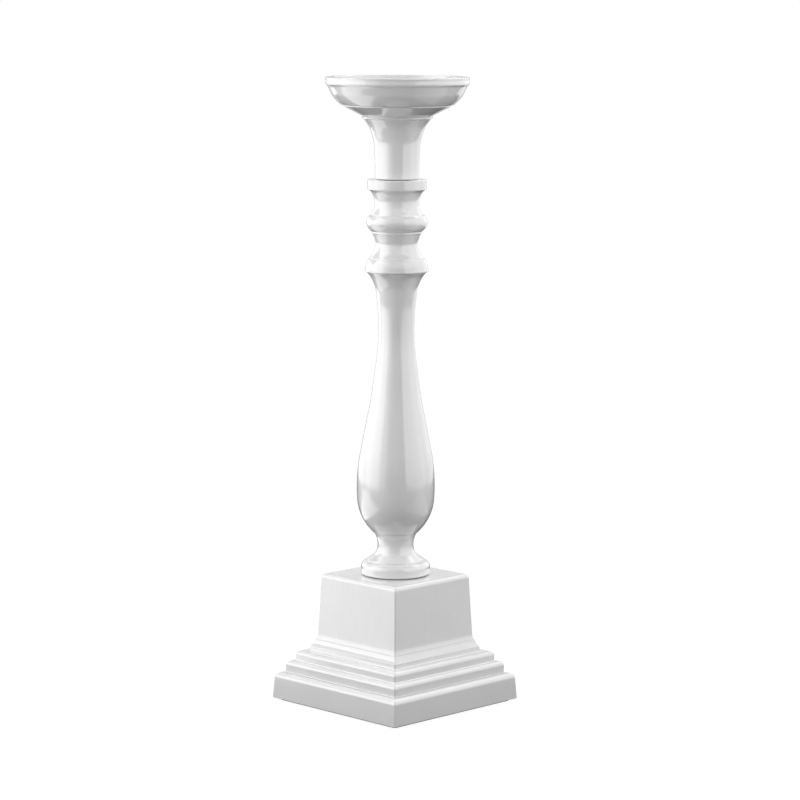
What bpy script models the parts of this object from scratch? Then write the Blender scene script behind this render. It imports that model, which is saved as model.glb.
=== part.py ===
"""Turned wooden candlestick on a stepped square plinth.

The row frame has its origin on the table under the middle of the plinth, +Z up the stem, and X and Y
square to the plinth's sides. Every length is in metres.

From the table up: a felt sheet, a base slab, a tapered pedestal block with four mitred step mouldings round
its lower end, and five turned pieces on one tie rod: foot, baluster, ring section, neck and candle cup.
Each turned piece has a spigot that centres it in a socket of the piece below it.
"""

import math

import bmesh
import bpy
from mathutils import Matrix

# ---------------------------------------------------------------- driving dimensions
GAP = 0.0003                # clearance between two pieces that touch or are glued

FELT_THICK = 0.0015
FELT_INSET = 0.004          # felt edge behind the slab's edge

SLAB_SIDE = 0.1263          # across the slab at its bottom
SLAB_TAPER = 0.0010         # how far each side leans in by the start of the rounded edge
SLAB_THICK = 0.0188
SLAB_EDGE_R = 0.0038        # rounded upper edge

STEP_1_SIDE = 0.1132        # lower step, across the risers
STEP_1_RISE = 0.0084
STEP_2_SIDE = 0.1026        # upper step
STEP_2_RISE = 0.0074
STEP_NOSE_R = 0.0031        # rounded nose of each step
COVE_SIDE = 0.0875          # upright below the cove
COVE_FOOT_RISE = 0.0038
COVE_RISE = 0.0046
COVE_SAG = 0.0005
COVE_LIP = 0.0002           # thickness of the moulding's upper edge

BLOCK_FOOT_SIDE = 0.0814    # across the block at the top of the mouldings
BLOCK_FLARE_SIDE = 0.0796   # where the taper turns into the flared foot
BLOCK_FLARE_Z = 0.0492      # above the slab's bottom, as are all heights named Z below
BLOCK_FLARE_SAG = 0.00016
BLOCK_TOP_SIDE = 0.0757
BLOCK_TOP_Z = 0.0921
BLOCK_EDGE_R = 0.0032

FOOT_Z = 0.1230             # top of each turned piece
BALUSTER_Z = 0.3117
RINGS_Z = 0.3775
NECK_Z = 0.4219
CUP_Z = 0.4500

FOOT_RADIUS = 0.0249
BELLY_RADIUS = 0.0279
WAIST_RADIUS = 0.0129
RING_RADIUS = 0.0211
BEAD_RADIUS = 0.0218
OVOLO_RADIUS = 0.0228
NECK_RADIUS = 0.0157
CAPITAL_RADIUS = 0.0253
CUP_RADIUS = 0.0515
CUP_FLOOR_RADIUS = 0.0415
CUP_WALL_RADIUS = 0.0466
CUP_DEPTH = 0.0110

ROD_RADIUS = 0.0030         # M6 tie rod
ROD_BORE = 0.00375          # clearance hole for it through the wood
ROD_END_Z = 0.0010
SPIGOT_RADIUS = 0.0080
SPIGOT_LENGTH = 0.0090
FOOT_SPIGOT_RADIUS = 0.0100
FOOT_SPIGOT_LENGTH = 0.0120
CUP_SPIGOT_RADIUS = 0.0090
CUP_SPIGOT_LENGTH = 0.0032
SOCKET_CLEARANCE = 0.0006   # depth of a socket beyond its spigot

INSERT_RADIUS = 0.0055      # threaded insert in the cup
INSERT_LENGTH = 0.0080
INSERT_FLANGE_RADIUS = 0.0072
INSERT_FLANGE = 0.0010

COUNTERBORE_RADIUS = 0.0110  # under the slab, for the nut and its washer
COUNTERBORE_DEPTH = 0.0092
WASHER_RADIUS = 0.0090
WASHER_THICK = 0.0016
NUT_ACROSS_FLATS = 0.0100
NUT_HEIGHT = 0.0050
NUT_CHAMFER = 0.0006

SCREW_OFFSET = 0.0260       # of each slab screw from the axis, along X and along Y
SCREW_LENGTH = 0.0380
SCREW_RADIUS = 0.0019
SCREW_HEAD_RADIUS = 0.0041
SCREW_HEAD_HEIGHT = 0.0028
SCREW_TIP = 0.0050
SCREW_SINK = 0.0006         # head below the slab's underside

ROUND_STEPS = 32            # facets round a turned piece
HOLE_STEPS = 16             # facets round a hole or a fastener

# ---------------------------------------------------------------- derived heights
SLAB_Z = FELT_THICK + GAP                   # the slab's underside, from which every height is measured
STEP_1_Z = SLAB_THICK + GAP                 # underside of the mouldings and of the block
STEP_2_Z = STEP_1_Z + STEP_1_RISE
STEP_2_TOP_Z = STEP_2_Z + STEP_2_RISE
COVE_Z = STEP_2_TOP_Z + COVE_FOOT_RISE
MOULDING_TOP_Z = COVE_Z + COVE_RISE


# ---------------------------------------------------------------- outlines
# An outline is a list of (distance from the axis, height). It runs clockwise seen with the axis on the left:
# down the outer side, in along the bottom and up the bore, so the outside is always on its left.

def arc(start, end, sag, steps):
    """Points after start, up to end, on a circular arc that stands sag out of its chord (minus: hollow)."""
    (r0, z0), (r1, z1) = start, end
    chord = math.hypot(r1 - r0, z1 - z0)
    out_r, out_z = -(z1 - z0) / chord, (r1 - r0) / chord
    radius = (chord * chord / 4 + sag * sag) / (2 * abs(sag))
    half = math.asin(min(1.0, chord / (2 * radius)))
    side = math.copysign(1.0, sag)
    points = []
    for i in range(1, steps + 1):
        angle = half * (2 * i / steps - 1)
        along = 0.5 + 0.5 * math.sin(angle) / math.sin(half)
        lift = side * radius * (math.cos(angle) - math.cos(half))
        points.append((r0 + (r1 - r0) * along + out_r * lift, z0 + (z1 - z0) * along + out_z * lift))
    return points


def quarter(corner, radius, steps):
    """A rounded outer edge at corner: from a level top to an upright side."""
    r, z = corner
    return [(r - radius * (1 - math.sin(a)), z - radius * (1 - math.cos(a)))
            for a in (math.pi / 2 * i / steps for i in range(steps + 1))]


def curve(points, steps):
    """A smooth curve through points: Catmull-Rom, with steps stretches between each two of them."""
    first = tuple(2 * a - b for a, b in zip(points[0], points[1]))
    last = tuple(2 * a - b for a, b in zip(points[-1], points[-2]))
    knots = [first] + list(points) + [last]
    result = [points[0]]
    for p0, p1, p2, p3 in zip(knots, knots[1:], knots[2:], knots[3:]):
        for i in range(1, steps + 1):
            t = i / steps
            result.append(tuple(
                0.5 * (2 * b + (c - a) * t + (2 * a - 5 * b + 4 * c - d) * t ** 2
                       + (3 * b - a - 3 * c + d) * t ** 3)
                for a, b, c, d in zip(p0, p1, p2, p3)))
    return result


def spigot_end(z, radius, length):
    """The lower end of a turned piece: its seat at z, and a spigot below it, up to the bore."""
    return [(radius, z), (radius, z - length), (ROD_BORE, z - length)]


def socket_end(z, radius, depth):
    """The upper end of a bored piece: from the bore out into a socket, up to the top face."""
    return [(ROD_BORE, z - depth), (radius, z - depth), (radius, z)]


# ---------------------------------------------------------------- mesh helpers
def lathe(name, outline, steps, closed, turn=0.0):
    """Turn an outline round the Z axis. A point on the axis becomes one vertex."""
    mesh = bmesh.new()
    rings = []
    for radius, z in outline:
        if radius < 1e-9:
            rings.append([mesh.verts.new((0.0, 0.0, z))] * steps)
            continue
        angles = [turn + math.tau * j / steps for j in range(steps)]
        rings.append([mesh.verts.new((radius * math.cos(a), radius * math.sin(a), z)) for a in angles])
    pairs = list(zip(rings, rings[1:]))
    if closed:
        pairs.append((rings[-1], rings[0]))
    for upper, lower in pairs:
        for j in range(steps):
            k = (j + 1) % steps
            corners = [upper[j], lower[j], lower[k], upper[k]]
            mesh.faces.new(list(dict.fromkeys(corners)))
    return add_object(name, mesh)


def square(name, outline):
    """Run an outline round a square: its distances are half the square's side."""
    return lathe(name, [(d * math.sqrt(2), z) for d, z in outline], 4, closed=False, turn=math.pi / 4)


def add_object(name, mesh):
    data = bpy.data.meshes.new(name)
    mesh.to_mesh(data)
    mesh.free()
    obj = bpy.data.objects.new(name, data)
    bpy.context.scene.collection.objects.link(obj)
    return obj


def smooth(obj, degrees=35):
    obj.data.shade_smooth()
    obj.data.set_sharp_from_angle(angle=math.radians(degrees))


def cut(obj, cutter):
    """Take cutter away from obj, and keep the cutter as a hidden guide."""
    cutter.hide_render = True
    cutter.display_type = "WIRE"
    boolean = obj.modifiers.new("holes", "BOOLEAN")
    boolean.operation = "DIFFERENCE"
    boolean.solver = "EXACT"
    boolean.object = cutter


def join_copies(obj, places):
    """Make obj's mesh a set of copies of itself, one at each place."""
    mesh = bmesh.new()
    for x, y in places:
        before = len(mesh.verts)
        mesh.from_mesh(obj.data)
        mesh.verts.ensure_lookup_table()
        bmesh.ops.transform(mesh, matrix=Matrix.Translation((x, y, 0.0)), verts=mesh.verts[before:])
    mesh.to_mesh(obj.data)
    mesh.free()


# ---------------------------------------------------------------- materials
def material(obj, colour, roughness, metallic):
    """Give obj a material of its own."""
    made = bpy.data.materials.new(obj.name)
    made.use_nodes = True
    shader = made.node_tree.nodes["Principled BSDF"]
    shader.inputs["Base Color"].default_value = (*colour, 1.0)
    shader.inputs["Roughness"].default_value = roughness
    shader.inputs["Metallic"].default_value = metallic
    obj.data.materials.append(made)


def white_lacquer(obj):
    material(obj, (0.82, 0.82, 0.81), 0.28, 0.0)


def zinc_steel(obj):
    material(obj, (0.62, 0.63, 0.65), 0.34, 1.0)


def brass(obj):
    material(obj, (0.76, 0.58, 0.27), 0.32, 1.0)


def grey_felt(obj):
    material(obj, (0.20, 0.20, 0.21), 0.95, 0.0)


# ---------------------------------------------------------------- plinth
def base_felt():
    """Felt sheet under the slab. It hides the screws and the nut."""
    half = SLAB_SIDE / 2 - FELT_INSET
    felt = square("base_felt", [(0.0, FELT_THICK), (half, FELT_THICK), (half, 0.0), (0.0, 0.0)])
    grey_felt(felt)


def base_slab():
    """Square slab with slightly leaning sides, a rounded upper edge and the fastener holes."""
    half = SLAB_SIDE / 2
    top = (half - SLAB_TAPER, SLAB_THICK)
    outline = [(0.0, SLAB_THICK)] + quarter(top, SLAB_EDGE_R, 4) + [(half, 0.0), (0.0, 0.0)]
    slab = square("base_slab", outline)
    slab.location.z = SLAB_Z
    white_lacquer(slab)
    cut(slab, slab_rod_hole())
    cut(slab, slab_screw_holes())


def slab_rod_hole():
    """Clearance hole for the tie rod, with the counterbore for its nut below."""
    hole = lathe("slab_rod_hole", [
        (0.0, 2 * SLAB_THICK), (ROD_BORE, 2 * SLAB_THICK), (ROD_BORE, COUNTERBORE_DEPTH),
        (COUNTERBORE_RADIUS, COUNTERBORE_DEPTH), (COUNTERBORE_RADIUS, -SLAB_THICK), (0.0, -SLAB_THICK),
    ], HOLE_STEPS, closed=False)
    hole.location.z = SLAB_Z
    return hole


def screw_places():
    return [(x * SCREW_OFFSET, y * SCREW_OFFSET) for x in (1, -1) for y in (1, -1)]


def slab_screw_holes():
    """Four countersunk clearance holes."""
    shank = SCREW_RADIUS + GAP
    head = SCREW_HEAD_RADIUS + GAP
    neck_z = SCREW_SINK + SCREW_HEAD_HEIGHT + GAP
    holes = lathe("slab_screw_holes", [
        (0.0, 2 * SLAB_THICK), (shank, 2 * SLAB_THICK), (shank, neck_z),
        (head, SCREW_SINK + GAP), (head, -SLAB_THICK), (0.0, -SLAB_THICK),
    ], HOLE_STEPS, closed=False)
    join_copies(holes, screw_places())
    holes.location.z = SLAB_Z
    return holes


def pedestal_block():
    """Square block, upright behind the mouldings, flared and then tapered above them, bored for rod and foot."""
    foot = BLOCK_FOOT_SIDE / 2
    flare_top = (BLOCK_FLARE_SIDE / 2, BLOCK_FLARE_Z)
    top = (BLOCK_TOP_SIDE / 2, BLOCK_TOP_Z)
    outline = [(0.0, BLOCK_TOP_Z)] + quarter(top, BLOCK_EDGE_R, 4)
    outline += [flare_top] + arc(flare_top, (foot, MOULDING_TOP_Z), -BLOCK_FLARE_SAG, 3)
    outline += [(foot, STEP_1_Z), (0.0, STEP_1_Z)]
    block = square("pedestal_block", outline)
    block.location.z = SLAB_Z
    white_lacquer(block)
    cut(block, block_rod_hole())
    cut(block, block_pilot_holes())


def block_rod_hole():
    """Through hole for the tie rod and the socket of the foot's spigot."""
    socket = FOOT_SPIGOT_RADIUS + GAP
    floor = BLOCK_TOP_Z - FOOT_SPIGOT_LENGTH - SOCKET_CLEARANCE
    above = BLOCK_TOP_Z + SLAB_THICK
    hole = lathe("block_rod_hole", [
        (0.0, above), (socket, above), (socket, floor), (ROD_BORE, floor), (ROD_BORE, 0.0), (0.0, 0.0),
    ], ROUND_STEPS, closed=False)
    hole.location.z = SLAB_Z
    return hole


def block_pilot_holes():
    """Four blind holes for the slab screws."""
    radius = SCREW_RADIUS + GAP
    end = SCREW_SINK + SCREW_LENGTH + 3 * GAP
    holes = lathe("block_pilot_holes", [
        (0.0, end), (radius, end - SCREW_TIP / 2), (radius, 0.0), (0.0, 0.0),
    ], HOLE_STEPS, closed=False)
    join_copies(holes, screw_places())
    holes.location.z = SLAB_Z
    return holes


def step_outline():
    """Section of the step moulding: distance from the plinth's middle plane, height."""
    back = BLOCK_FOOT_SIDE / 2 + GAP
    nose_1 = quarter((STEP_1_SIDE / 2, STEP_2_Z), STEP_NOSE_R, 3)
    nose_2 = quarter((STEP_2_SIDE / 2, STEP_2_TOP_Z), STEP_NOSE_R, 3)
    cove_top = (back + COVE_LIP, MOULDING_TOP_Z)
    cove_foot = (COVE_SIDE / 2, COVE_Z)
    return ([(back, MOULDING_TOP_Z), cove_top] + arc(cove_top, cove_foot, -COVE_SAG, 4)
            + [(COVE_SIDE / 2, STEP_2_TOP_Z)] + nose_2
            + [(STEP_2_SIDE / 2, STEP_2_Z)] + nose_1
            + [(STEP_1_SIDE / 2, STEP_1_Z), (back, STEP_1_Z)])


def step_moulding(name, turn):
    """One straight length of step moulding, mitred at both ends, on the side of the block at turn."""
    mitre = GAP / math.sqrt(2)
    mesh = bmesh.new()
    left = [mesh.verts.new((-(d - mitre), -d, z)) for d, z in step_outline()]
    right = [mesh.verts.new((d - mitre, -d, z)) for d, z in step_outline()]
    for i in range(len(left)):
        k = (i + 1) % len(left)
        mesh.faces.new([left[i], left[k], right[k], right[i]])
    mesh.faces.new(left[::-1])
    mesh.faces.new(right)
    strip = add_object(name, mesh)
    strip.location.z = SLAB_Z
    strip.rotation_euler.z = turn
    white_lacquer(strip)


# ---------------------------------------------------------------- turned pieces
def turned(name, outline):
    piece = lathe(name, outline, ROUND_STEPS, closed=True)
    piece.location.z = SLAB_Z
    smooth(piece)
    white_lacquer(piece)


def foot_spool():
    """Small spool: waisted neck, flare, quirk and a round-shouldered disc that stands on the block."""
    seat = BLOCK_TOP_Z + GAP
    quirk = 0.1022
    neck = curve([(0.0156, FOOT_Z), (0.0137, 0.1187), (0.0130, 0.1134), (0.0146, 0.1075),
                  (0.0206, quirk + 0.0008)], 3)
    shoulder = (FOOT_RADIUS - 0.0037, quirk)
    side = (FOOT_RADIUS, 0.0973)
    outline = neck + [(0.0206, quirk), shoulder] + arc(shoulder, side, 0.0012, 4)
    outline += [(FOOT_RADIUS, seat + 0.0008), (FOOT_RADIUS - 0.0008, seat)]
    outline += spigot_end(seat, FOOT_SPIGOT_RADIUS, FOOT_SPIGOT_LENGTH)
    outline += socket_end(FOOT_Z, SPIGOT_RADIUS + GAP, SPIGOT_LENGTH + SOCKET_CLEARANCE - GAP)
    turned("foot_spool", outline)


def baluster():
    """Long vase: flared top, narrow waist, full belly and a round bottom."""
    seat = FOOT_Z + GAP
    outline = curve([(0.0219, BALUSTER_Z), (0.0188, 0.3080), (0.0166, 0.3037), (0.0151, 0.2994),
                     (0.0143, 0.2930), (0.0134, 0.2836), (WAIST_RADIUS, 0.2680), (0.0136, 0.2548),
                     (0.0154, 0.2403), (0.0182, 0.2205), (0.0213, 0.2045), (0.0243, 0.1890),
                     (0.0268, 0.1755), (BELLY_RADIUS, 0.1600), (0.0277, 0.1460), (0.0256, 0.1370),
                     (0.0216, 0.1293), (0.0164, seat)], 2)
    outline += spigot_end(seat, SPIGOT_RADIUS, SPIGOT_LENGTH)
    outline += socket_end(BALUSTER_Z, SPIGOT_RADIUS + GAP, SPIGOT_LENGTH + SOCKET_CLEARANCE - GAP)
    turned("baluster", outline)


def ring_section():
    """Turned collar, from the top: flat ring, cove, bead, fillet, cove and ovolo."""
    seat = BALUSTER_Z + GAP
    ring_foot = 0.3710
    outline = [(RING_RADIUS - 0.0005, RINGS_Z), (RING_RADIUS, RINGS_Z - 0.0006), (RING_RADIUS, ring_foot)]
    outline += curve([(0.0208, ring_foot - 0.0008), (0.0183, 0.3681), (0.0163, 0.3638), (0.0159, 0.3605),
                      (0.0165, 0.3566), (0.0184, 0.3526)], 2)
    bead_top = (0.0196, 0.3520)
    bead_side = (BEAD_RADIUS, 0.3466)
    bead_foot = (0.0184, 0.3407)
    outline += [(0.0184, bead_top[1]), bead_top] + arc(bead_top, bead_side, 0.0006, 3)
    outline += arc(bead_side, bead_foot, 0.0008, 4)
    outline += [(0.0180, 0.3405), (0.0180, 0.3392)]
    outline += curve([(0.0174, 0.3387), (0.0155, 0.3338), (0.0149, 0.3315), (0.0155, 0.3288),
                      (0.0169, 0.3252), (0.0192, 0.3214)], 2)
    ovolo_top = (0.0203, 0.3207)
    ovolo_foot = (OVOLO_RADIUS - 0.0002, seat + 0.0015)
    outline += [(0.0192, ovolo_top[1]), ovolo_top] + arc(ovolo_top, ovolo_foot, 0.0005, 4)
    outline += [(OVOLO_RADIUS, seat + 0.0012), (OVOLO_RADIUS, seat + 0.0003), (OVOLO_RADIUS - 0.0003, seat)]
    outline += spigot_end(seat, SPIGOT_RADIUS, SPIGOT_LENGTH)
    outline += socket_end(RINGS_Z, SPIGOT_RADIUS + GAP, SPIGOT_LENGTH + SOCKET_CLEARANCE - GAP)
    turned("ring_section", outline)


def neck_section():
    """Upper column with a flared capital and a thin lip, and a short spigot up into the cup."""
    seat = RINGS_Z + GAP
    outline = [(CAPITAL_RADIUS - 0.0003, NECK_Z), (CAPITAL_RADIUS, NECK_Z - 0.0004),
               (CAPITAL_RADIUS - 0.0003, NECK_Z - 0.0015)]
    outline += curve([(0.0240, 0.4201), (0.0203, 0.4149), (0.0181, 0.4090), (0.0167, 0.4035),
                      (0.0161, 0.3960), (0.0158, 0.3860), (NECK_RADIUS, seat)], 2)
    outline += spigot_end(seat, SPIGOT_RADIUS, SPIGOT_LENGTH)
    spigot_top = NECK_Z + GAP + CUP_SPIGOT_LENGTH
    outline += [(ROD_BORE, spigot_top), (CUP_SPIGOT_RADIUS, spigot_top), (CUP_SPIGOT_RADIUS, NECK_Z)]
    turned("neck_section", outline)


def candle_cup():
    """Shallow dish: level recess, flat rim, round lip, bowl, fillet and conical underside."""
    seat = NECK_Z + GAP
    floor = CUP_Z - CUP_DEPTH
    wall_foot = (CUP_WALL_RADIUS - 0.0008, floor + 0.0040)
    wall_top = (CUP_WALL_RADIUS + 0.0004, CUP_Z - 0.0006)
    rim_edge = (CUP_RADIUS - 0.0011, CUP_Z)
    lip_top = (CUP_RADIUS - 0.0003, CUP_Z - 0.0008)
    lip_side = (CUP_RADIUS, CUP_Z - 0.0027)
    lip_foot = (0.0511, 0.4450)
    quirk = (0.0495, 0.4430)
    bowl_side = (0.0470, 0.4376)
    bowl_foot = (0.0402, 0.4302)
    fillet_r = 0.0384
    cone_edge = (fillet_r - 0.0003, 0.4290)
    outline = [(0.0, floor), (CUP_FLOOR_RADIUS, floor)] + arc((CUP_FLOOR_RADIUS, floor), wall_foot, -0.0012, 4)
    outline += [wall_top, (CUP_WALL_RADIUS + 0.0010, CUP_Z), rim_edge] + arc(rim_edge, lip_top, 0.0002, 2)
    outline += [lip_side, lip_foot, quirk, bowl_side] + arc(bowl_side, bowl_foot, 0.0004, 5)
    outline += [(fillet_r, 0.4301), (fillet_r, cone_edge[1] + 0.0002), cone_edge, (0.0254, 0.4226), (0.0250, seat)]
    socket = CUP_SPIGOT_RADIUS + GAP
    socket_roof = seat + CUP_SPIGOT_LENGTH + SOCKET_CLEARANCE
    flange_roof = socket_roof + INSERT_FLANGE
    bore_roof = socket_roof + INSERT_LENGTH + GAP
    outline += [(socket, seat), (socket, socket_roof), (INSERT_FLANGE_RADIUS + GAP, socket_roof)]
    outline += [(INSERT_FLANGE_RADIUS + GAP, flange_roof), (INSERT_RADIUS + GAP, flange_roof)]
    outline += [(INSERT_RADIUS + GAP, bore_roof), (0.0, bore_roof)]
    cup = lathe("candle_cup", outline, ROUND_STEPS, closed=False)
    cup.location.z = SLAB_Z
    smooth(cup)
    white_lacquer(cup)


# ---------------------------------------------------------------- fastenings
def tie_rod():
    """Rod from the counterbore under the slab to the insert in the cup."""
    end = NECK_Z + GAP + CUP_SPIGOT_LENGTH + INSERT_LENGTH
    chamfer = 0.0008
    rod = lathe("tie_rod", [
        (0.0, end), (ROD_RADIUS - chamfer, end), (ROD_RADIUS, end - chamfer),
        (ROD_RADIUS, ROD_END_Z + chamfer), (ROD_RADIUS - chamfer, ROD_END_Z), (0.0, ROD_END_Z),
    ], HOLE_STEPS, closed=False)
    rod.location.z = SLAB_Z
    smooth(rod)
    zinc_steel(rod)


def cup_insert():
    """Flanged threaded bush, pressed into the cup from below."""
    low = NECK_Z + GAP + CUP_SPIGOT_LENGTH + SOCKET_CLEARANCE
    high = low + INSERT_LENGTH
    bore = ROD_RADIUS + GAP
    flange = low + INSERT_FLANGE - GAP
    insert = lathe("cup_insert", [
        (INSERT_RADIUS, high), (INSERT_RADIUS, flange), (INSERT_FLANGE_RADIUS, flange),
        (INSERT_FLANGE_RADIUS, low), (bore, low), (bore, high),
    ], HOLE_STEPS, closed=True)
    insert.location.z = SLAB_Z
    smooth(insert)
    brass(insert)


def rod_washer():
    top = COUNTERBORE_DEPTH - GAP
    low = top - WASHER_THICK
    bore = ROD_RADIUS + GAP
    washer = lathe("rod_washer", [(WASHER_RADIUS, top), (WASHER_RADIUS, low), (bore, low), (bore, top)],
                   HOLE_STEPS, closed=True)
    washer.location.z = SLAB_Z
    smooth(washer)
    zinc_steel(washer)


def rod_nut():
    """Hexagon nut under the washer."""
    top = COUNTERBORE_DEPTH - 2 * GAP - WASHER_THICK
    low = top - NUT_HEIGHT
    corner = NUT_ACROSS_FLATS / math.sqrt(3)
    edge = corner - NUT_CHAMFER
    nut = lathe("rod_nut", [
        (0.0, top), (edge, top), (corner, top - NUT_CHAMFER), (corner, low + NUT_CHAMFER), (edge, low), (0.0, low),
    ], 6, closed=False)
    nut.location.z = SLAB_Z
    zinc_steel(nut)
    bore = ROD_RADIUS + GAP
    hole = lathe("nut_bore", [(0.0, 2 * top), (bore, 2 * top), (bore, -top), (0.0, -top)],
                 HOLE_STEPS, closed=False)
    hole.location.z = SLAB_Z
    cut(nut, hole)


def slab_screw(name, place):
    """Countersunk wood screw, head down, up through the slab into the block."""
    head_z = SCREW_SINK
    neck_z = head_z + SCREW_HEAD_HEIGHT
    tip_z = head_z + SCREW_LENGTH
    screw = lathe(name, [
        (0.0, tip_z), (SCREW_RADIUS, tip_z - SCREW_TIP), (SCREW_RADIUS, neck_z),
        (SCREW_HEAD_RADIUS, head_z + GAP), (SCREW_HEAD_RADIUS, head_z), (0.0, head_z),
    ], HOLE_STEPS, closed=False)
    screw.location = (*place, SLAB_Z)
    smooth(screw)
    zinc_steel(screw)


# ---------------------------------------------------------------- assembly
def main():
    for obj in list(bpy.data.objects):
        bpy.data.objects.remove(obj, do_unlink=True)
    base_felt()
    base_slab()
    pedestal_block()
    for index, side in enumerate(("front", "right", "back", "left")):
        step_moulding("step_moulding_" + side, index * math.pi / 2)
    foot_spool()
    baluster()
    ring_section()
    neck_section()
    candle_cup()
    tie_rod()
    cup_insert()
    rod_washer()
    rod_nut()
    for number, place in enumerate(screw_places(), start=1):
        slab_screw("slab_screw_%d" % number, place)


main()
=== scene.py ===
"""Looks of the turned wooden candlestick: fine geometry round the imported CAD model, materials, light, camera.

Lengths are in metres in the row frame. Heights named Z, and those in the outlines, are above the slab's
underside. The camera looks at one corner of the plinth, and "left" and "right" are as it sees them.
"""

import math

import bmesh
import bpy
from mathutils import Matrix, Quaternion, Vector, noise

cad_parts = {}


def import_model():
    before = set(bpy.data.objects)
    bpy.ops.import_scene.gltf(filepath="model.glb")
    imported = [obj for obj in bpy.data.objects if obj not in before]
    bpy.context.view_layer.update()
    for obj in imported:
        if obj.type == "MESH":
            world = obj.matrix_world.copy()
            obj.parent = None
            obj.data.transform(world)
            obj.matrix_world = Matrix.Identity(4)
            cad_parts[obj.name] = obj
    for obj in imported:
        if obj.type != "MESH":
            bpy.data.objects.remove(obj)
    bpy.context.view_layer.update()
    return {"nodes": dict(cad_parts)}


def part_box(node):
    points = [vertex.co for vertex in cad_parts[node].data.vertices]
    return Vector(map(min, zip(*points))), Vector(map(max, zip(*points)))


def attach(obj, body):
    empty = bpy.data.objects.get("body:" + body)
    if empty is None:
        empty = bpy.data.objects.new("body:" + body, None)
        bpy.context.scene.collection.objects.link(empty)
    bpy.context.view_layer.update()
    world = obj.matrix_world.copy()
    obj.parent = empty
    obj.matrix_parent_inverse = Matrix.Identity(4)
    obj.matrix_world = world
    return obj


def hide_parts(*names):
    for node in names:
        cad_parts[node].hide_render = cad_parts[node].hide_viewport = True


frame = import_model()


# ---------------------------------------------------------------- measures taken from the CAD model
SLAB_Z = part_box("base_slab")[0].z


def top(node):
    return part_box(node)[1].z - SLAB_Z


def reach(node):
    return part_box(node)[1].x


GAP = 0.0003                # between two CAD pieces
HAIRLINE = 0.00004          # what is left of it where the lacquer bridges a joint

SLAB_THICK = top("base_slab")
MOULDING_Z = SLAB_THICK + GAP
MOULDING_TOP_Z = top("step_moulding_front")
BLOCK_TOP_Z = top("pedestal_block")
FOOT_Z = top("foot_spool")
BALUSTER_Z = top("baluster")
RINGS_Z = top("ring_section")
CUP_Z = top("candle_cup")
CUP_SPIGOT_LENGTH = 0.0032
NECK_Z = top("neck_section") - CUP_SPIGOT_LENGTH - GAP

SLAB_HALF = reach("base_slab")
BLOCK_FOOT_HALF = reach("pedestal_block")
FOOT_RADIUS = reach("foot_spool")
BELLY_RADIUS = reach("baluster")
OVOLO_RADIUS = reach("ring_section")
CAPITAL_RADIUS = reach("neck_section")
CUP_RADIUS = reach("candle_cup")

ROD_CLEARANCE = 0.00075
ROD_BORE = reach("tie_rod") + ROD_CLEARANCE
SOCKET_CLEARANCE = 0.0006   # from the end of a spigot to the floor of its socket
SPIGOT_RADIUS = 0.0080
SPIGOT_LENGTH = 0.0090
SOCKET_RADIUS = SPIGOT_RADIUS + GAP
SOCKET_DEPTH = SPIGOT_LENGTH + SOCKET_CLEARANCE - GAP
FOOT_SPIGOT_RADIUS = 0.0100
FOOT_SPIGOT_LENGTH = 0.0120
CUP_SPIGOT_RADIUS = 0.0090
INSERT_RADIUS = 0.0055
INSERT_FLANGE = 0.0010      # thickness of its flange
COUNTERBORE_CLEARANCE = 0.002
SCREW_OFFSET = (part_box("slab_screw_1")[0].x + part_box("slab_screw_1")[1].x) / 2
SCREW_HOLE_RADIUS = 0.0022
SCREW_HEAD_RADIUS = 0.0044
SCREW_HEAD_Z = 0.0009       # the countersink's wide end, and the height where it meets the hole
SCREW_NECK_Z = 0.0037
SCREW_TIP = 0.0025          # length of the hole's pointed end

# ---------------------------------------------------------------- finer than the CAD model
ROUND_SEGMENTS = 144
HOLE_SEGMENTS = 40
HOLE_EDGE_ANGLE = math.radians(50)      # a drilled piece keeps an edge sharp that turns by more
MITRE_EDGE_ANGLE = math.radians(60)     # the same for a mitred length
EDGE_ROUND = 0.00030        # the lacquer's rounding on a turned arris and in a quirk
MOULDING_ROUND = 0.0008     # the same on the step mouldings, where it is thicker
EDGE_STEPS = 4
PAINT_FILLET = 0.0005       # lacquer gathered in the corner between the mouldings and the slab
SHARP = math.radians(24)    # an outline that turns by more has a sharp corner there
MOST_TURN = 2.4             # radians: a corner that turns by more is rounded like this one
MOST_CUT = 0.45             # of a stretch's length, taken by the rounding at each of its ends
ON_AXIS = 1e-7              # a ring that is smaller is one point on the axis
SWELL = 0.000025            # unevenness of a hand-turned piece
SWELL_ROUND = 1.3           # its pattern: size round the piece, and changes per metre of height
SWELL_ALONG = 90
SWELL_SHIFT = 3.7           # moves it on by so much for each letter of a node's name

SLAB_TAPER = 0.0010
SLAB_EDGE_R = 0.0038
SLAB_CORNER_R = 0.0011      # upright arris
BLOCK_TOP_HALF = 0.03785
BLOCK_FLARE = (0.0398, 0.0492)   # where its taper turns into the flared foot
BLOCK_FLARE_SAG = 0.00016
BLOCK_EDGE_R = 0.0032
BLOCK_CORNER_R = 0.0009
STEP_1_HALF = reach("step_moulding_front")
STEP_1_RISE = 0.0084
STEP_2_HALF = 0.0513
STEP_2_RISE = 0.0074
STEP_NOSE_R = 0.0031
STEP_CORNER_R = 0.0012
COVE_HALF = 0.04375
COVE_FOOT_RISE = 0.0038
COVE_LIP = 0.0002
COVE_SAG = 0.0005
CORNER_STEPS = 5            # points in each half of a rounded upright arris
FELT_CORNER_R = 0.0020
FELT_EDGE_R = 0.0004
PAST = 0.01                 # how far a cutter runs on past a face


# ---------------------------------------------------------------- outlines
# An outline is a list of (distance from the axis, height). A closed one starts at a sharp outer corner and
# runs down the outer side, in along the bottom and up the bore. An open one runs from axis to axis.

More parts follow.
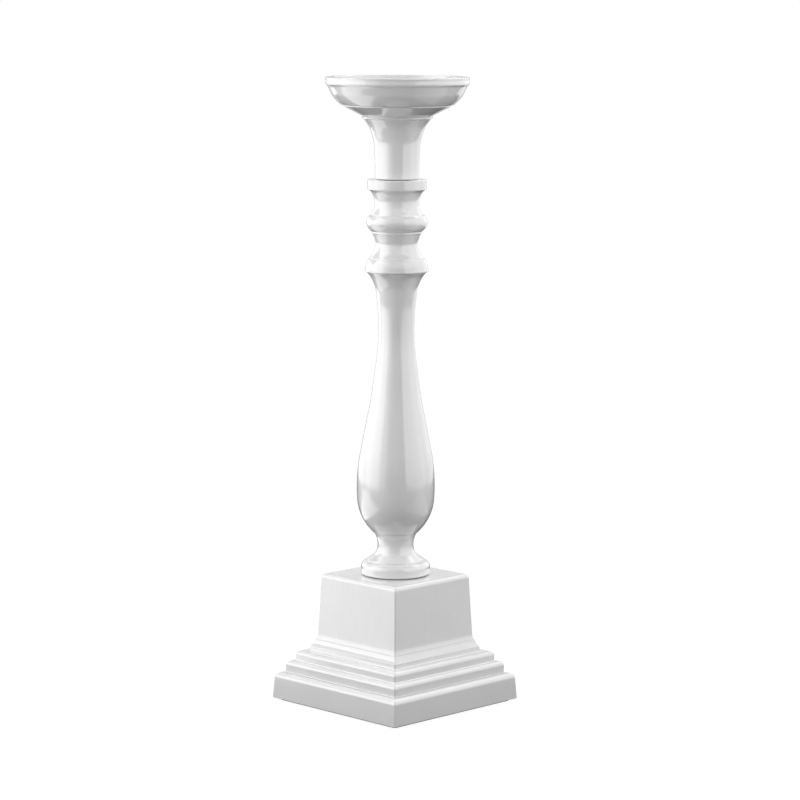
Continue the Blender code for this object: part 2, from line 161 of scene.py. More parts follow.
def arc(start, end, sag, steps):
    """Points after start, up to end, on a circular arc that stands sag out of its chord (minus: hollow)."""
    (r0, z0), (r1, z1) = start, end
    chord = math.hypot(r1 - r0, z1 - z0)
    out_r, out_z = -(z1 - z0) / chord, (r1 - r0) / chord
    radius = (chord * chord / 4 + sag * sag) / (2 * abs(sag))
    half = math.asin(min(1.0, chord / (2 * radius)))
    side = math.copysign(1.0, sag)
    points = []
    for i in range(1, steps + 1):
        angle = half * (2 * i / steps - 1)
        along = 0.5 + 0.5 * math.sin(angle) / math.sin(half)
        lift = side * radius * (math.cos(angle) - math.cos(half))
        points.append((r0 + (r1 - r0) * along + out_r * lift, z0 + (z1 - z0) * along + out_z * lift))
    return points


def quarter(corner, radius, steps):
    """A rounded outer edge at corner: from a level top to an upright side."""
    r, z = corner
    return [(r - radius * (1 - math.sin(a)), z - radius * (1 - math.cos(a)))
            for a in (math.pi / 2 * i / steps for i in range(steps + 1))]


def curve(points, steps):
    """A smooth curve through points: Catmull-Rom, with steps stretches between each two of them."""
    first = tuple(2 * a - b for a, b in zip(points[0], points[1]))
    last = tuple(2 * a - b for a, b in zip(points[-1], points[-2]))
    knots = [first] + list(points) + [last]
    result = [points[0]]
    for p0, p1, p2, p3 in zip(knots, knots[1:], knots[2:], knots[3:]):
        for i in range(1, steps + 1):
            t = i / steps
            result.append(tuple(
                0.5 * (2 * b + (c - a) * t + (2 * a - 5 * b + 4 * c - d) * t ** 2
                       + (3 * b - a - 3 * c + d) * t ** 3)
                for a, b, c, d in zip(p0, p1, p2, p3)))
    return result


def turn_at(a, b, c):
    """The angle by which the line a-b-c turns at b."""
    return (Vector(b) - Vector(a)).angle(Vector(c) - Vector(b), 0.0)


def trimmed(points, start, end):
    """A line without its first start and its last end of length."""
    for left in (start, end):
        while left > 0.0:
            a, b = Vector(points[0]), Vector(points[1])
            step = (b - a).length
            if step > left:
                points = [tuple(a.lerp(b, left / step))] + points[1:]
                break
            points = points[1:]
            left -= step
        points = points[::-1]
    return points


def eased(points, closed, radius):
    """An outline with every sharp corner rounded, by less where the next corner is close."""
    line = points + points[:1] if closed else points
    last = len(line) - 1
    sharp = [0] + [i for i in range(1, last) if turn_at(*line[i - 1:i + 2]) > SHARP] + [last]
    stretches = [line[a:b + 1] for a, b in zip(sharp, sharp[1:])]
    count = len(stretches)

    def cut(i):
        """The length to take off at the corner between stretch i - 1 and stretch i."""
        if not closed and i in (0, count):
            return 0.0
        before, after = stretches[i - 1], stretches[i % count]
        return radius * math.tan(min(turn_at(before[-2], before[-1], after[1]), MOST_TURN) / 2)

    short = []
    for i, stretch in enumerate(stretches):
        most = MOST_CUT * sum(math.dist(a, b) for a, b in zip(stretch, stretch[1:]))
        short.append(trimmed(stretch, min(cut(i), most), min(cut(i + 1), most)))
    outline = []
    for i, stretch in enumerate(short):
        outline += stretch
        if closed or i < count - 1:
            a, corner, b = Vector(stretch[-1]), Vector(stretches[i][-1]), Vector(short[(i + 1) % count][0])
            for t in (k / EDGE_STEPS for k in range(1, EDGE_STEPS)):
                outline.append(tuple(a * (1 - t) ** 2 + corner * (2 * t * (1 - t)) + b * t ** 2))
    return outline


def spigot_end(z, radius, length):
    """The lower end of a turned piece: its seat at z, and a spigot below it, up to the bore."""
    return [(radius, z), (radius, z - length), (ROD_BORE, z - length)]


def socket_end(z, radius, depth):
    """The upper end of a bored piece: from the bore out into a socket, up to the top face."""
    return [(ROD_BORE, z - depth), (radius, z - depth), (radius, z)]


# ---------------------------------------------------------------- meshes
def add_object(name, mesh):
    bmesh.ops.recalc_face_normals(mesh, faces=mesh.faces)
    data = bpy.data.meshes.new(name)
    mesh.to_mesh(data)
    mesh.free()
    data.shade_smooth()
    obj = bpy.data.objects.new(name, data)
    bpy.context.scene.collection.objects.link(obj)
    return obj


def bridge(mesh, rings, closed):
    """Faces between neighbouring rings of vertices. A ring of one vertex is a point on the axis."""
    pairs = list(zip(rings, rings[1:]))
    if closed:
        pairs.append((rings[-1], rings[0]))
    for upper, lower in pairs:
        count = max(len(upper), len(lower))
        for j in range(count):
            k = (j + 1) % count
            corners = [upper[j % len(upper)], lower[j % len(lower)],
                       lower[k % len(lower)], upper[k % len(upper)]]
            mesh.faces.new(list(dict.fromkeys(corners)))


def round_ring(mesh, radius, z, segments, place=(0.0, 0.0), swell=None):
    """A ring of vertices, or one vertex on the axis."""
    if radius < ON_AXIS:
        return [mesh.verts.new((*place, z))]
    ring = []
    for a in (math.tau * j / segments for j in range(segments)):
        r = radius + (swell(a, z) if swell else 0.0)
        ring.append(mesh.verts.new((place[0] + r * math.cos(a), place[1] + r * math.sin(a), z)))
    return ring


def square_ring(mesh, half, corner, z):
    """A ring of vertices round a square with rounded corners, or one vertex on the axis."""
    if half < ON_AXIS:
        return [mesh.verts.new((0.0, 0.0, z))]
    corner = min(corner, half)
    centre = half - corner
    steps = 2 * CORNER_STEPS - 2
    ring = []
    for side in range(4):
        turn = Matrix.Rotation(side * math.pi / 2, 3, "Z")
        for a in (math.pi / 2 * k / steps for k in range(steps + 1)):
            spot = Vector((centre + corner * math.cos(a), centre + corner * math.sin(a), z))
            ring.append(mesh.verts.new(turn @ spot))
    return ring


def finish_piece(piece, node, material):
    """piece stands for the CAD node on the one body. Its large faces keep their own normals."""
    weighted = piece.modifiers.new("face_weights", "WEIGHTED_NORMAL")
    weighted.weight = 100
    weighted.keep_sharp = True
    piece.data.materials.clear()
    piece.data.materials.append(material)
    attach(piece, "root")
    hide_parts(node)


def turned(node, outline, closed, material):
    """A fine turned piece that stands for a CAD node, slightly uneven as a hand-held gouge leaves it."""
    offset = len(node) * SWELL_SHIFT

    def swell(a, z):
        """How far the surface moves out: never past the CAD piece."""
        spot = Vector((math.cos(a) * SWELL_ROUND + offset, math.sin(a) * SWELL_ROUND, z * SWELL_ALONG))
        return SWELL * (noise.noise(spot) - 1.0)

    mesh = bmesh.new()
    rings = [round_ring(mesh, r, z + SLAB_Z, ROUND_SEGMENTS, swell=swell)
             for r, z in eased(outline, closed, EDGE_ROUND)]
    bridge(mesh, rings, closed)
    finish_piece(add_object("turned_" + node, mesh), node, material)


def squared(name, outline, corner, edge):
    """A square piece from its section, with its upright corners rounded."""
    mesh = bmesh.new()
    rings = [square_ring(mesh, half, corner, z + SLAB_Z) for half, z in eased(outline, False, edge)]
    bridge(mesh, rings, False)
    return add_object(name, mesh)


def drill(obj, outline, places=((0.0, 0.0),)):
    """Take a turned hole away from obj at each place."""
    mesh = bmesh.new()
    for place in places:
        bridge(mesh, [round_ring(mesh, r, z + SLAB_Z, HOLE_SEGMENTS, place) for r, z in outline], False)
    cutter = add_object("cutter", mesh)
    boolean = obj.modifiers.new("hole", "BOOLEAN")
    boolean.solver = "EXACT"
    boolean.object = cutter
    bpy.context.view_layer.update()
    drilled = bpy.data.meshes.new_from_object(obj.evaluated_get(bpy.context.evaluated_depsgraph_get()))
    drilled.set_sharp_from_angle(angle=HOLE_EDGE_ANGLE)
    obj.modifiers.remove(boolean)
    obj.data = drilled
    bpy.data.objects.remove(cutter, do_unlink=True)


# ---------------------------------------------------------------- materials
class Graph:
    """A Principled material's node tree, with short calls for the nodes used here."""

    def __init__(self, name):
        self.material = bpy.data.materials.new(name)
        self.material.use_nodes = True
        self.nodes = self.material.node_tree.nodes
        self.links = self.material.node_tree.links
        self.shader = self.nodes["Principled BSDF"]
        self.place = self.nodes.new("ShaderNodeTexCoord").outputs["Object"]

    def put(self, socket, value):
        if isinstance(value, bpy.types.NodeSocket):
            self.links.new(value, socket)
        else:
            socket.default_value = (*value, 1.0) if isinstance(value, tuple) else value

    def set(self, **values):
        """Set the shader's sockets by their names in lower case, with _ for a space."""
        sockets = {s.name.lower().replace(" ", "_"): s for s in self.shader.inputs}
        for key, value in values.items():
            self.put(sockets[key], value)

    def stretch(self, scale):
        node = self.nodes.new("ShaderNodeMapping")
        node.inputs["Scale"].default_value = scale
        self.links.new(self.place, node.inputs["Vector"])
        return node.outputs["Vector"]

    def noise(self, scale, detail=3.0, roughness=0.5, vector=None):
        node = self.nodes.new("ShaderNodeTexNoise")
        self.links.new(vector or self.place, node.inputs["Vector"])
        node.inputs["Scale"].default_value = scale
        node.inputs["Detail"].default_value = detail
        node.inputs["Roughness"].default_value = roughness
        return node.outputs["Fac"]

    def ramp(self, value, low, high, to_low=0.0, to_high=1.0):
        """Map low..high to to_low..to_high, and hold the ends."""
        node = self.nodes.new("ShaderNodeMapRange")
        for key, number in (("From Min", low), ("From Max", high), ("To Min", to_low), ("To Max", to_high)):
            node.inputs[key].default_value = number
        self.links.new(value, node.inputs["Value"])
        return node.outputs["Result"]

    def mix(self, factor, a, b):
        node = self.nodes.new("ShaderNodeMix")
        node.data_type = "RGBA"
        colour_a, colour_b = (s for s in node.inputs if s.type == "RGBA")
        self.put(node.inputs["Factor"], factor)
        self.put(colour_a, a)
        self.put(colour_b, b)
        return next(s for s in node.outputs if s.type == "RGBA")

    def bump(self, height, distance, normal=None):
        node = self.nodes.new("ShaderNodeBump")
        node.inputs["Distance"].default_value = distance
        self.links.new(height, node.inputs["Height"])
        if normal:
            self.links.new(normal, node.inputs["Normal"])
        return node.outputs["Normal"]

    def openness(self, distance):
        """0 deep in a crevice, 1 in the open."""
        node = self.nodes.new("ShaderNodeAmbientOcclusion")
        node.samples = 8
        node.inputs["Distance"].default_value = distance
        return node.outputs["AO"]

    def edge(self):
        """About 0.5 on a flat face, more on an arris."""
        return self.nodes.new("ShaderNodeNewGeometry").outputs["Pointiness"]


def lacquer(name, grain):
    """White satin lacquer over close-grained wood, with painted shade in its crevices and a painted highlight
    on its arrises. grain is the stretch of the figure along X, Y and Z.
    """
    g = Graph(name)
    figure = g.noise(1.0, 4.0, 0.6, g.stretch(grain))
    peel = g.noise(420.0, 2.0, 0.45)
    cloud = g.noise(24.0)
    speck = g.noise(1400.0, 1.0)
    paint = g.mix(g.ramp(cloud, 0.3, 0.7), (0.765, 0.765, 0.764), (0.80, 0.80, 0.799))
    grained = g.mix(g.ramp(figure, 0.28, 0.60, 0.08, 0.0), paint, (0.56, 0.555, 0.54))
    # Painted shade: the paint colour is darkened wherever ambient occlusion finds a crevice or joint.
    painted_crevice_shade = g.mix(g.ramp(g.openness(0.004), 0.25, 0.75, 0.35, 0.0), grained, (0.52, 0.515, 0.50))
    # Painted highlight: the paint colour is lighter on arrises, where the geometry's pointiness is high.
    painted_arris_highlight = g.mix(g.ramp(g.edge(), 0.53, 0.60, 0.0, 0.3), painted_crevice_shade, (0.84, 0.84, 0.835))
    g.set(base_color=painted_arris_highlight, roughness=g.ramp(speck, 0.3, 0.7, 0.14, 0.20), ior=1.5,
          coat_weight=1.0, coat_roughness=0.10, coat_ior=1.56,
          normal=g.bump(figure, 0.000010, g.bump(peel, 0.000008)))
    return g.material


def grey_felt():
    """Pressed wool felt."""
    g = Graph("grey_felt")
    fibres = g.noise(2600.0, 5.0, 0.7)
    tufts = g.noise(240.0, 3.0, 0.6)
    shade = g.mix(g.ramp(fibres, 0.3, 0.7), (0.12, 0.12, 0.125), (0.25, 0.25, 0.255))
    g.set(base_color=g.mix(g.ramp(tufts, 0.4, 0.7, 0.0, 0.4), shade, (0.31, 0.31, 0.31)),
          roughness=g.ramp(tufts, 0.3, 0.7, 0.88, 1.0), sheen_weight=0.35,
          normal=g.bump(tufts, 0.0003, g.bump(fibres, 0.0002)))
    return g.material


def metal(name, dark, light, roughness):
    """Machined metal with fine turning lines round Z and a cloudy plating."""
    g = Graph(name)
    lines = g.noise(1.0, 3.0, 0.6, g.stretch((300.0, 300.0, 9000.0)))
    cloud = g.noise(180.0)
    g.set(base_color=g.mix(g.ramp(cloud, 0.3, 0.7), dark, light), metallic=1.0,
          roughness=g.ramp(lines, 0.3, 0.7, roughness - 0.08, roughness + 0.10),
          normal=g.bump(lines, 0.00002))
    return g.material


# ---------------------------------------------------------------- plinth
def screw_places():
    return [(x * SCREW_OFFSET, y * SCREW_OFFSET) for x in (1, -1) for y in (1, -1)]


def felt_sheet(material):
    half, high, low = reach("base_felt"), top("base_felt"), -SLAB_Z
    sheet = squared("felt_sheet", [(0.0, high), (half, high), (half, low), (0.0, low)],
                    FELT_CORNER_R, FELT_EDGE_R)
    finish_piece(sheet, "base_felt", material)


def slab(material):
    """Slab with slightly leaning sides, a rounded upper edge and the fastener holes."""
    edge = (SLAB_HALF - SLAB_TAPER, SLAB_THICK)
    outline = [(0.0, SLAB_THICK)] + quarter(edge, SLAB_EDGE_R, 10) + [(SLAB_HALF, 0.0), (0.0, 0.0)]
    piece = squared("slab", outline, SLAB_CORNER_R, EDGE_ROUND)
    through = SLAB_THICK + PAST
    roof = top("rod_washer") + GAP
    counterbore = reach("rod_washer") + COUNTERBORE_CLEARANCE
    drill(piece, [(0.0, through), (ROD_BORE, through), (ROD_BORE, roof), (counterbore, roof),
                  (counterbore, -PAST), (0.0, -PAST)])
    drill(piece, [(0.0, through), (SCREW_HOLE_RADIUS, through), (SCREW_HOLE_RADIUS, SCREW_NECK_Z),
                  (SCREW_HEAD_RADIUS, SCREW_HEAD_Z), (SCREW_HEAD_RADIUS, -PAST), (0.0, -PAST)],
          screw_places())
    finish_piece(piece, "base_slab", material)


def block(material):
    """Block, upright behind the mouldings, flared and then tapered above them, bored for rod and foot."""
    edge = (BLOCK_TOP_HALF, BLOCK_TOP_Z)
    outline = [(0.0, BLOCK_TOP_Z)] + quarter(edge, BLOCK_EDGE_R, 10)
    outline += [BLOCK_FLARE] + arc(BLOCK_FLARE, (BLOCK_FOOT_HALF, MOULDING_TOP_Z), -BLOCK_FLARE_SAG, 8)
    outline += [(BLOCK_FOOT_HALF, MOULDING_Z), (0.0, MOULDING_Z)]
    piece = squared("block", outline, BLOCK_CORNER_R, EDGE_ROUND)
    above = BLOCK_TOP_Z + PAST
    socket = FOOT_SPIGOT_RADIUS + GAP
    floor_z = BLOCK_TOP_Z - FOOT_SPIGOT_LENGTH - SOCKET_CLEARANCE
    drill(piece, [(0.0, above), (socket, above), (socket, floor_z), (ROD_BORE, floor_z), (ROD_BORE, 0.0),
                  (0.0, 0.0)])
    end = top("slab_screw_1") + 3 * GAP
    drill(piece, [(0.0, end), (SCREW_HOLE_RADIUS, end - SCREW_TIP), (SCREW_HOLE_RADIUS, 0.0), (0.0, 0.0)],
          screw_places())
    finish_piece(piece, "pedestal_block", material)


def step_outline():
    """Section of the step moulding: distance from the plinth's middle plane, height."""
    back = BLOCK_FOOT_HALF + HAIRLINE
    foot = SLAB_THICK + HAIRLINE
    step_2 = MOULDING_Z + STEP_1_RISE
    step_3 = step_2 + STEP_2_RISE
    cove_top = (BLOCK_FOOT_HALF + GAP + COVE_LIP, MOULDING_TOP_Z)
    cove_foot = (COVE_HALF, step_3 + COVE_FOOT_RISE)
    return ([(back, MOULDING_TOP_Z), cove_top] + arc(cove_top, cove_foot, -COVE_SAG, 8)
            + [(COVE_HALF, step_3)] + quarter((STEP_2_HALF, step_3), STEP_NOSE_R, 8)
            + [(STEP_2_HALF, step_2)] + quarter((STEP_1_HALF, step_2), STEP_NOSE_R, 8)
            + [(STEP_1_HALF, foot + PAINT_FILLET), (STEP_1_HALF + PAINT_FILLET, foot), (back, foot)])


def step_moulding(side, turn, material):
    """One straight length, mitred at both ends. Its arris is eased together with its neighbour's."""
    mesh = bmesh.new()
    rows = []
    for d, z in eased(step_outline(), True, MOULDING_ROUND):
        ease = min(STEP_CORNER_R, 0.5 * (d - BLOCK_FOOT_HALF))
        centre = d - ease
        left = [(-centre - ease * math.sin(a), -centre - ease * math.cos(a))
                for a in (math.pi / 4 * (1 - k / (CORNER_STEPS - 1)) for k in range(CORNER_STEPS))]
        left[0] = (left[0][0] + HAIRLINE / 2, left[0][1])
        row = left + [(-x, y) for x, y in reversed(left)]
        rows.append([mesh.verts.new((x, y, z + SLAB_Z)) for x, y in row])
    for row, below in zip(rows, rows[1:] + rows[:1]):
        for j in range(len(row) - 1):
            mesh.faces.new([row[j], below[j], below[j + 1], row[j + 1]])
    mesh.faces.new([row[0] for row in reversed(rows)])
    mesh.faces.new([row[-1] for row in rows])
    bmesh.ops.rotate(mesh, cent=(0, 0, 0), matrix=Matrix.Rotation(turn, 3, "Z"), verts=mesh.verts)
    piece = add_object("moulding_" + side, mesh)
    piece.data.set_sharp_from_angle(angle=MITRE_EDGE_ANGLE)
    finish_piece(piece, "step_moulding_" + side, material)


# ---------------------------------------------------------------- turned pieces
def foot_spool(material):
    """Small spool: waisted neck, flare, quirk and a round-shouldered disc that stands on the block."""
    seat = BLOCK_TOP_Z + GAP
    quirk = 0.1022
    flare_radius = 0.0206
    chamfer = 0.0008
    neck = curve([(0.0156, FOOT_Z), (0.0137, 0.1187), (0.0130, 0.1134), (0.0146, 0.1075),
                  (flare_radius, quirk + 0.0008)], 12)
    shoulder = (FOOT_RADIUS - 0.0037, quirk)
    side = (FOOT_RADIUS, 0.0973)
    outline = neck + [(flare_radius, quirk), shoulder] + arc(shoulder, side, 0.0012, 12)
    outline += [(FOOT_RADIUS, seat + chamfer), (FOOT_RADIUS - chamfer, seat)]
    outline += spigot_end(seat, FOOT_SPIGOT_RADIUS, FOOT_SPIGOT_LENGTH)
    outline += socket_end(FOOT_Z, SOCKET_RADIUS, SOCKET_DEPTH)
    turned("foot_spool", outline, True, material)


def baluster(material):
    """Long vase: flared top, narrow waist, full belly and a round bottom."""
    seat = FOOT_Z + HAIRLINE
    outline = curve([(0.0219, BALUSTER_Z), (0.0188, 0.3080), (0.0166, 0.3037), (0.0151, 0.2994),
                     (0.0143, 0.2930), (0.0134, 0.2836), (0.0129, 0.2680), (0.0136, 0.2548),
                     (0.0154, 0.2403), (0.0182, 0.2205), (0.0213, 0.2045), (0.0243, 0.1890),
                     (0.0268, 0.1755), (BELLY_RADIUS, 0.1600), (0.0277, 0.1460), (0.0256, 0.1370),
                     (0.0216, 0.1293), (0.0164, seat)], 7)
    outline += spigot_end(seat, SPIGOT_RADIUS, SPIGOT_LENGTH)
    outline += socket_end(BALUSTER_Z, SOCKET_RADIUS, SOCKET_DEPTH)
    turned("baluster", outline, True, material)


def ring_section(material):
    """Turned collar, from the top: flat ring, cove, bead, fillet, cove and ovolo."""
    seat = BALUSTER_Z + HAIRLINE
    ring_radius = 0.0211
    ring_foot = 0.3710
    outline = [(ring_radius - 0.0005, RINGS_Z), (ring_radius, RINGS_Z - 0.0006), (ring_radius, ring_foot)]
    outline += curve([(0.0208, ring_foot - 0.0008), (0.0183, 0.3681), (0.0163, 0.3638), (0.0159, 0.3605),
                      (0.0165, 0.3566), (0.0184, 0.3526)], 7)
    bead_top = (0.0196, 0.3520)
    bead_side = (0.0218, 0.3466)
    bead_foot = (0.0184, 0.3407)
    outline += [(0.0184, bead_top[1]), bead_top] + arc(bead_top, bead_side, 0.0006, 10)
    outline += arc(bead_side, bead_foot, 0.0008, 10)
    outline += [(0.0180, 0.3405), (0.0180, 0.3392)]
    outline += curve([(0.0174, 0.3387), (0.0155, 0.3338), (0.0149, 0.3315), (0.0155, 0.3288),
                      (0.0169, 0.3252), (0.0192, 0.3214)], 7)
    ovolo_top = (0.0203, 0.3207)
    ovolo_foot = (OVOLO_RADIUS - 0.0002, seat + 0.0015)
    outline += [(0.0192, ovolo_top[1]), ovolo_top] + arc(ovolo_top, ovolo_foot, 0.0005, 10)
    outline += [(OVOLO_RADIUS, seat + 0.0012), (OVOLO_RADIUS, seat + 0.0003), (OVOLO_RADIUS - 0.0003, seat)]
    outline += spigot_end(seat, SPIGOT_RADIUS, SPIGOT_LENGTH)
    outline += socket_end(RINGS_Z, SOCKET_RADIUS, SOCKET_DEPTH)
    turned("ring_section", outline, True, material)


def neck_section(material):
    """Upper column with a flared capital and a thin lip, and a short spigot up into the cup."""
    seat = RINGS_Z + GAP
    outline = [(CAPITAL_RADIUS - 0.0003, NECK_Z), (CAPITAL_RADIUS, NECK_Z - 0.0004),
               (CAPITAL_RADIUS - 0.0003, NECK_Z - 0.0015)]
    outline += curve([(0.0240, 0.4201), (0.0203, 0.4149), (0.0181, 0.4090), (0.0167, 0.4035),
                      (0.0161, 0.3960), (0.0158, 0.3860), (0.0157, seat)], 8)
    outline += spigot_end(seat, SPIGOT_RADIUS, SPIGOT_LENGTH)
    spigot_top = NECK_Z + GAP + CUP_SPIGOT_LENGTH
    outline += [(ROD_BORE, spigot_top), (CUP_SPIGOT_RADIUS, spigot_top), (CUP_SPIGOT_RADIUS, NECK_Z)]
    turned("neck_section", outline, True, material)


def candle_cup(material):
    """Shallow dish: level recess, flat rim, round lip, bowl, fillet and conical underside."""
    seat = NECK_Z + HAIRLINE
    floor_z = CUP_Z - 0.0110
    floor_radius = 0.0415
    wall_radius = 0.0466
    wall_foot = (wall_radius - 0.0008, floor_z + 0.0040)
    wall_top = (wall_radius + 0.0004, CUP_Z - 0.0006)
    rim_edge = (CUP_RADIUS - 0.0011, CUP_Z)
    lip_top = (CUP_RADIUS - 0.0001, CUP_Z - 0.0008)
    lip_side = (CUP_RADIUS - 0.0004, CUP_Z - 0.0022)
    lip_foot = (0.0511, 0.4450)
    quirk = (0.0495, 0.4430)
    bowl_side = (0.0470, 0.4376)
    bowl_foot = (0.0402, 0.4302)
    fillet_radius = 0.0384
    cone_edge = (fillet_radius - 0.0003, 0.4290)
    outline = [(0.0, floor_z), (floor_radius, floor_z)] + arc((floor_radius, floor_z), wall_foot, -0.0012, 12)
    outline += [wall_top, (wall_radius + 0.0010, CUP_Z), rim_edge] + arc(rim_edge, lip_top, 0.0002, 6)
    outline += curve([lip_side, lip_foot, quirk, bowl_side], 6) + arc(bowl_side, bowl_foot, 0.0004, 14)
    outline += [(fillet_radius, 0.4301), (fillet_radius, cone_edge[1] + 0.0002), cone_edge,
                (0.0254, 0.4226), (0.0250, seat)]
    socket = CUP_SPIGOT_RADIUS + GAP
    socket_roof = NECK_Z + GAP + CUP_SPIGOT_LENGTH + SOCKET_CLEARANCE
    insert_radius = INSERT_RADIUS + GAP
    flange_radius = reach("cup_insert") + GAP
    flange_roof = socket_roof + INSERT_FLANGE
    bore_roof = top("cup_insert") + GAP
    outline += [(socket, seat), (socket, socket_roof), (flange_radius, socket_roof)]
    outline += [(flange_radius, flange_roof), (insert_radius, flange_roof)]
    outline += [(insert_radius, bore_roof), (0.0, bore_roof)]
    turned("candle_cup", outline, False, material)


def build():
    upright = lacquer("white_lacquer_upright", (700.0, 700.0, 30.0))
    across = lacquer("white_lacquer_along_x", (30.0, 700.0, 700.0))
    along = lacquer("white_lacquer_along_y", (700.0, 30.0, 700.0))
    felt_sheet(grey_felt())
    slab(across)
    block(upright)
    for index, side in enumerate(("front", "right", "back", "left")):
        step_moulding(side, index * math.pi / 2, along if index % 2 else across)
    foot_spool(upright)
    baluster(upright)
    ring_section(upright)
    neck_section(upright)
    candle_cup(upright)
    steel = metal("zinc_plated_steel", (0.50, 0.51, 0.53), (0.66, 0.67, 0.69), 0.34)
    brass = metal("turned_brass", (0.62, 0.45, 0.19), (0.80, 0.62, 0.30), 0.30)
    screws = ["slab_screw_%d" % number for number in range(1, 5)]
    for node in ["tie_rod", "rod_washer", "rod_nut", "cup_insert"] + screws:
        carried = frame["nodes"][node].data.materials
        carried.clear()
        carried.append(brass if node == "cup_insert" else steel)


# ---------------------------------------------------------------- stage, light and camera
LENS = 130.9                        # mm, on a sensor SENSOR_WIDTH mm wide
SENSOR_WIDTH = 36.0
CAMERA_DISTANCE = 2.071             # level, from the stem's axis
CAMERA_HEIGHT = 0.503               # above the slab's underside
CAMERA_PITCH = math.radians(7.81)   # down
CAMERA_YAW = math.radians(0.078)    # to the right
CAMERA_ROLL = math.radians(0.25)
VIEW_AZIMUTH = math.radians(45)     # the camera stands at this angle from -Y, towards +X
OUT = Vector((math.sin(VIEW_AZIMUTH), -math.cos(VIEW_AZIMUTH), 0.0))
RIGHT = Vector((math.cos(VIEW_AZIMUTH), math.sin(VIEW_AZIMUTH), 0.0))
UP = Vector((0.0, 0.0, 1.0))

FLOOR_RADIUS = 9.0
FLOOR_BOUNCE = 0.03                 # how much of the light the floor gives back
SHADE_REACH = (0.16, 0.42)          # the object's shade on the floor fades out between these radii
SHADED_ALBEDO = 0.08                # inside them the floor is seen as a dim surface with a glow
SHADED_GLOW = 0.95
AMBIENT = 0.25                      # light from all round

PANEL_DISTANCE = 1.2
PANEL_MIDDLE = 0.7
PANEL_TOP = 1.7
TOP_ELEVATION = math.radians(65)    # the top panel stands behind, this high
TOP_DISTANCE = 1.6
TOP_AIM = 0.25                      # the height that it points at
TOP_LENGTH = 3.0
TOP_WIDTH = 0.9
CARD_DISTANCE = 0.6
CARD_LENGTH = 0.8
CARD_WIDTH = 0.5
CARD_LIFT = 0.001


def shader_tree(owner):
    """An empty node tree and its light path node."""
    owner.use_nodes = True
    tree = owner.node_tree
    tree.nodes.clear()
    return tree, tree.nodes.new("ShaderNodeLightPath").outputs["Is Camera Ray"]


def floor():
    """A floor that the camera sees as white, but for the object's shade. To the light it is nearly black."""
    mesh = bmesh.new()
    bmesh.ops.create_circle(mesh, cap_ends=True, segments=96, radius=FLOOR_RADIUS)
    obj = add_object("floor", mesh)
    made = bpy.data.materials.new("pale_floor")
    tree, seen_by_camera = shader_tree(made)
    bounce = tree.nodes.new("ShaderNodeBsdfDiffuse")
    bounce.inputs["Color"].default_value = (FLOOR_BOUNCE, FLOOR_BOUNCE, FLOOR_BOUNCE, 1.0)
    pale = tree.nodes.new("ShaderNodeBsdfDiffuse")
    pale.inputs["Color"].default_value = (SHADED_ALBEDO, SHADED_ALBEDO, SHADED_ALBEDO, 1.0)
    glow = tree.nodes.new("ShaderNodeEmission")
    glow.inputs["Strength"].default_value = SHADED_GLOW
    white = tree.nodes.new("ShaderNodeEmission")
    both = tree.nodes.new("ShaderNodeAddShader")
    distance = tree.nodes.new("ShaderNodeVectorMath")
    distance.operation = "LENGTH"
    fade = tree.nodes.new("ShaderNodeMapRange")
    fade.inputs["From Min"].default_value, fade.inputs["From Max"].default_value = SHADE_REACH
    shade = tree.nodes.new("ShaderNodeMixShader")
    mix = tree.nodes.new("ShaderNodeMixShader")
    out = tree.nodes.new("ShaderNodeOutputMaterial")
    tree.links.new(tree.nodes.new("ShaderNodeTexCoord").outputs["Object"], distance.inputs[0])
    tree.links.new(distance.outputs["Value"], fade.inputs["Value"])
    tree.links.new(pale.outputs[0], both.inputs[0])
    tree.links.new(glow.outputs[0], both.inputs[1])
    tree.links.new(fade.outputs["Result"], shade.inputs["Fac"])
    tree.links.new(both.outputs[0], shade.inputs[1])
    tree.links.new(white.outputs[0], shade.inputs[2])
    tree.links.new(seen_by_camera, mix.inputs["Fac"])
    tree.links.new(bounce.outputs[0], mix.inputs[1])
    tree.links.new(shade.outputs[0], mix.inputs[2])
    tree.links.new(mix.outputs[0], out.inputs["Surface"])
    obj.data.materials.append(made)


def world():
    """White to the eye, dim to everything else."""
    made = bpy.data.worlds.new("studio")
    bpy.context.scene.world = made
    tree, seen_by_camera = shader_tree(made)
    dim = tree.nodes.new("ShaderNodeBackground")
    dim.inputs["Strength"].default_value = AMBIENT
    white = tree.nodes.new("ShaderNodeBackground")
    for background in (dim, white):
        background.inputs["Color"].default_value = (1.0, 1.0, 1.0, 1.0)
    mix = tree.nodes.new("ShaderNodeMixShader")
    out = tree.nodes.new("ShaderNodeOutputWorld")
    tree.links.new(seen_by_camera, mix.inputs["Fac"])
    tree.links.new(dim.outputs[0], mix.inputs[1])
    tree.links.new(white.outputs[0], mix.inputs[2])
    tree.links.new(mix.outputs[0], out.inputs["Surface"])


def area_light(name, width, tall, radiance, place, rotation):
    """A panel that the camera doesn't see, of even radiance."""
    data = bpy.data.lights.new(name, "AREA")
    data.shape = "RECTANGLE"
    data.size, data.size_y = width, tall
    data.energy = math.pi * width * tall * radiance
    obj = bpy.data.objects.new(name, data)
    obj.location = place
    obj.rotation_euler = rotation
    obj.visible_camera = False
    bpy.context.scene.collection.objects.link(obj)


def heading(azimuth):
    """Level direction at azimuth degrees to the camera's right, seen from the stem. The camera is at 0."""
    a = math.radians(azimuth)
    return OUT * math.cos(a) + RIGHT * math.sin(a)


def softbox(name, azimuth, span, low, high, radiance):
    """An upright panel round the stem, from low to high above the floor. Its span is in degrees."""
    side = heading(azimuth)
    width = 2 * PANEL_DISTANCE * math.tan(math.radians(span) / 2)
    area_light(name, width, high - low, radiance, side * PANEL_DISTANCE + UP * (low + high) / 2,
               (-side).to_track_quat("-Z", "Y").to_euler())


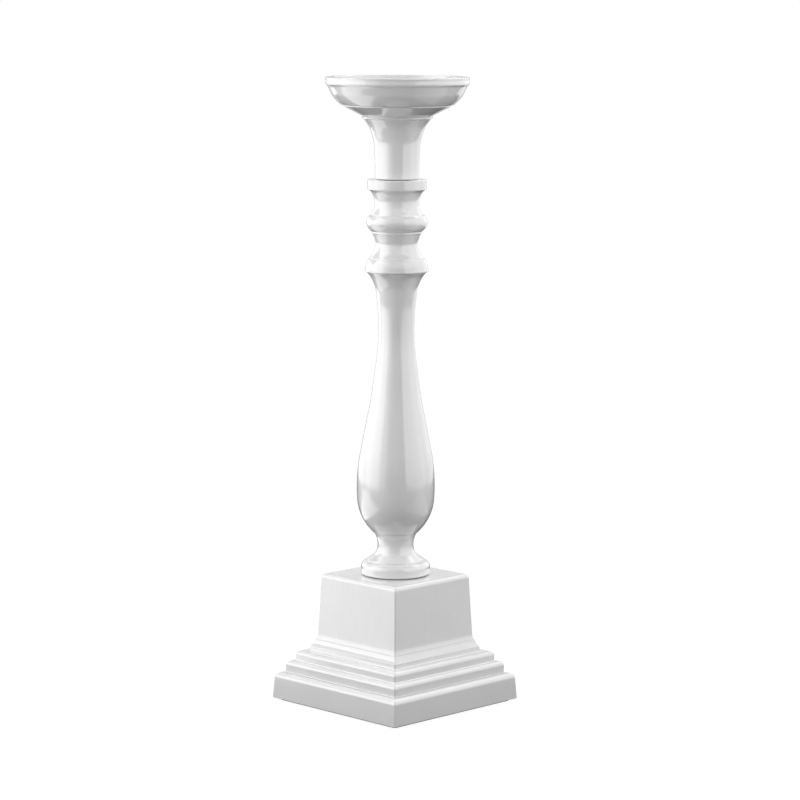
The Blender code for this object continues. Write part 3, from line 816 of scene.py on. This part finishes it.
def floor_card(name, azimuth, radiance):
    """A lamp that lies on the floor beside the plinth and faces up, where a white card would reflect."""
    side = heading(azimuth)
    area_light(name, CARD_LENGTH, CARD_WIDTH, radiance, side * CARD_DISTANCE + UP * CARD_LIFT,
               (math.pi, 0.0, math.atan2(side.y, side.x)))


def lights():
    """Soft studio light: strong from the left, weaker from the right, behind and above, weak in front."""
    softbox("left_back_softbox", -125, 50, 0.0, PANEL_MIDDLE, 1.5)
    softbox("left_softbox", -75, 50, 0.0, PANEL_TOP, 2.5)
    softbox("left_front_softbox", -40, 20, 0.0, PANEL_TOP, 1.0)
    softbox("front_softbox", 10, 60, PANEL_MIDDLE, PANEL_TOP, 0.5)
    softbox("right_softbox", 65, 70, 0.0, PANEL_TOP, 1.5)
    softbox("right_back_softbox", 130, 60, 0.0, PANEL_TOP, 1.0)
    softbox("back_softbox", 185, 50, 0.0, PANEL_MIDDLE, 0.5)
    over = UP * math.sin(TOP_ELEVATION) - OUT * math.cos(TOP_ELEVATION)
    area_light("top_softbox", TOP_LENGTH, TOP_WIDTH, 1.5, UP * TOP_AIM + over * TOP_DISTANCE,
               over.to_track_quat("Z", "Y").to_euler())
    floor_card("left_reflector", -100, 1.5)
    floor_card("right_reflector", 80, 0.5)


def camera():
    """A long lens a little above the cup, pitched down, with the stem near the picture's middle."""
    data = bpy.data.cameras.new("camera")
    data.sensor_width = SENSOR_WIDTH
    data.lens = LENS
    data.clip_start, data.clip_end = 0.1, 40.0
    obj = bpy.data.objects.new("camera", data)
    obj.location = OUT * CAMERA_DISTANCE + UP * (SLAB_Z + CAMERA_HEIGHT)
    ahead = RIGHT * math.sin(CAMERA_YAW) - OUT * math.cos(CAMERA_YAW)
    look = ahead * math.cos(CAMERA_PITCH) - UP * math.sin(CAMERA_PITCH)
    level = look.to_track_quat("-Z", "Y")
    obj.rotation_euler = (level @ Quaternion((0, 0, 1), CAMERA_ROLL)).to_euler()
    bpy.context.scene.collection.objects.link(obj)
    bpy.context.scene.camera = obj


build()
floor()
world()
lights()
camera()
bpy.context.scene.view_settings.view_transform = "Standard"
bpy.context.scene.view_settings.look = "None"
